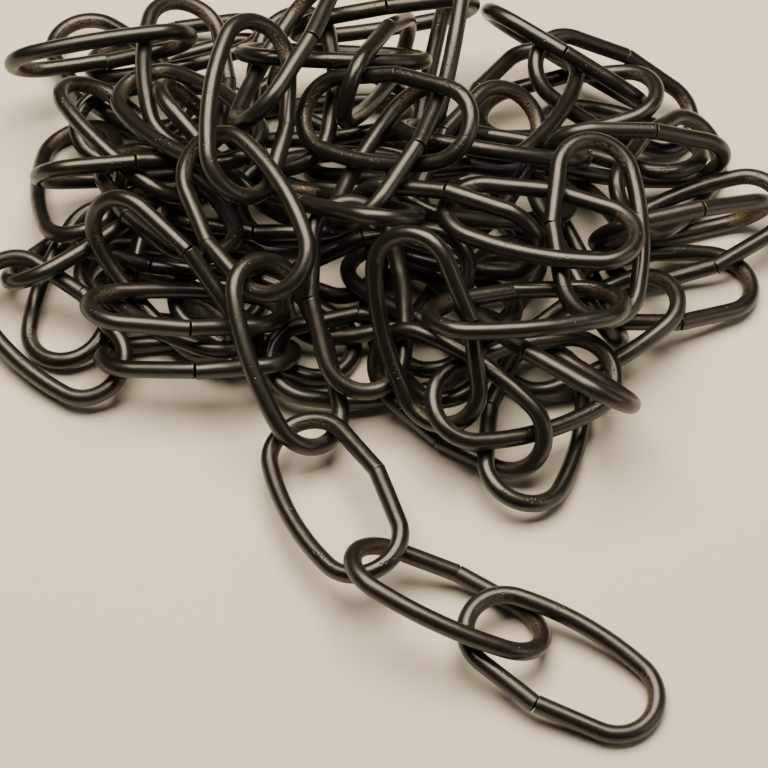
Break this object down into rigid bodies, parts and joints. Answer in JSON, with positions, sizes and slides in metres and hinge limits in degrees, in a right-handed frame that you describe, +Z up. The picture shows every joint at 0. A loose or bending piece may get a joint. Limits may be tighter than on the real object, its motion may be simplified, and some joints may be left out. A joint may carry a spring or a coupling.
{
  "type": "iron chain heap",
  "caption": "Heap of loose black iron chain with long oval butt-joined links, hooked in order, with a short tail running out to a free end link.",
  "frame": {"origin": "on the floor, under the middle of the heap's bounding box", "axes": "+Z up from the floor the heap lies on; the tail of links runs out of the heap towards -Y; +X to the right seen from the tail"},
  "size_m": [0.193, 0.2044, 0.0522],
  "materials": {
    "black_iron": "satin black lacquer over blackened iron wire, rubbed on the crowns, with small runs and pits"
  },
  "bodies": {
    "root": {"back_1": "black_iron", "back_2": "black_iron", "back_3": "black_iron", "back_4": "black_iron", "back_5": "black_iron", "core_1": "black_iron", "core_2": "black_iron", "core_3": "black_iron", "core_4": "black_iron", "core_5": "black_iron", "core_6": "black_iron", "end_link": "black_iron", "front_1": "black_iron", "front_2": "black_iron", "front_3": "black_iron", "front_4": "black_iron", "front_5": "black_iron", "left_1": "black_iron", "left_10": "black_iron", "left_11": "black_iron", "left_12": "black_iron", "left_13": "black_iron", "left_14": "black_iron", "left_2": "black_iron", "left_3": "black_iron", "left_4": "black_iron", "left_5": "black_iron", "left_6": "black_iron", "left_7": "black_iron", "left_8": "black_iron", "left_9": "black_iron", "middle_1": "black_iron", "middle_2": "black_iron", "right_1": "black_iron", "right_2": "black_iron", "right_3": "black_iron", "right_4": "black_iron", "right_5": "black_iron", "right_6": "black_iron", "shoulder_1": "black_iron", "shoulder_2": "black_iron", "shoulder_3": "black_iron", "shoulder_4": "black_iron", "side_1": "black_iron", "side_2": "black_iron", "side_3": "black_iron", "side_4": "black_iron", "tail_1": "black_iron", "tail_2": "black_iron", "tail_3": "black_iron", "tail_4": "black_iron", "top_1": "black_iron", "top_2": "black_iron", "top_3": "black_iron", "top_4": "black_iron", "under_1": "black_iron", "under_2": "black_iron", "under_3": "black_iron", "under_4": "black_iron", "hidden_links": "black_iron"}
  },
  "joints": []
}
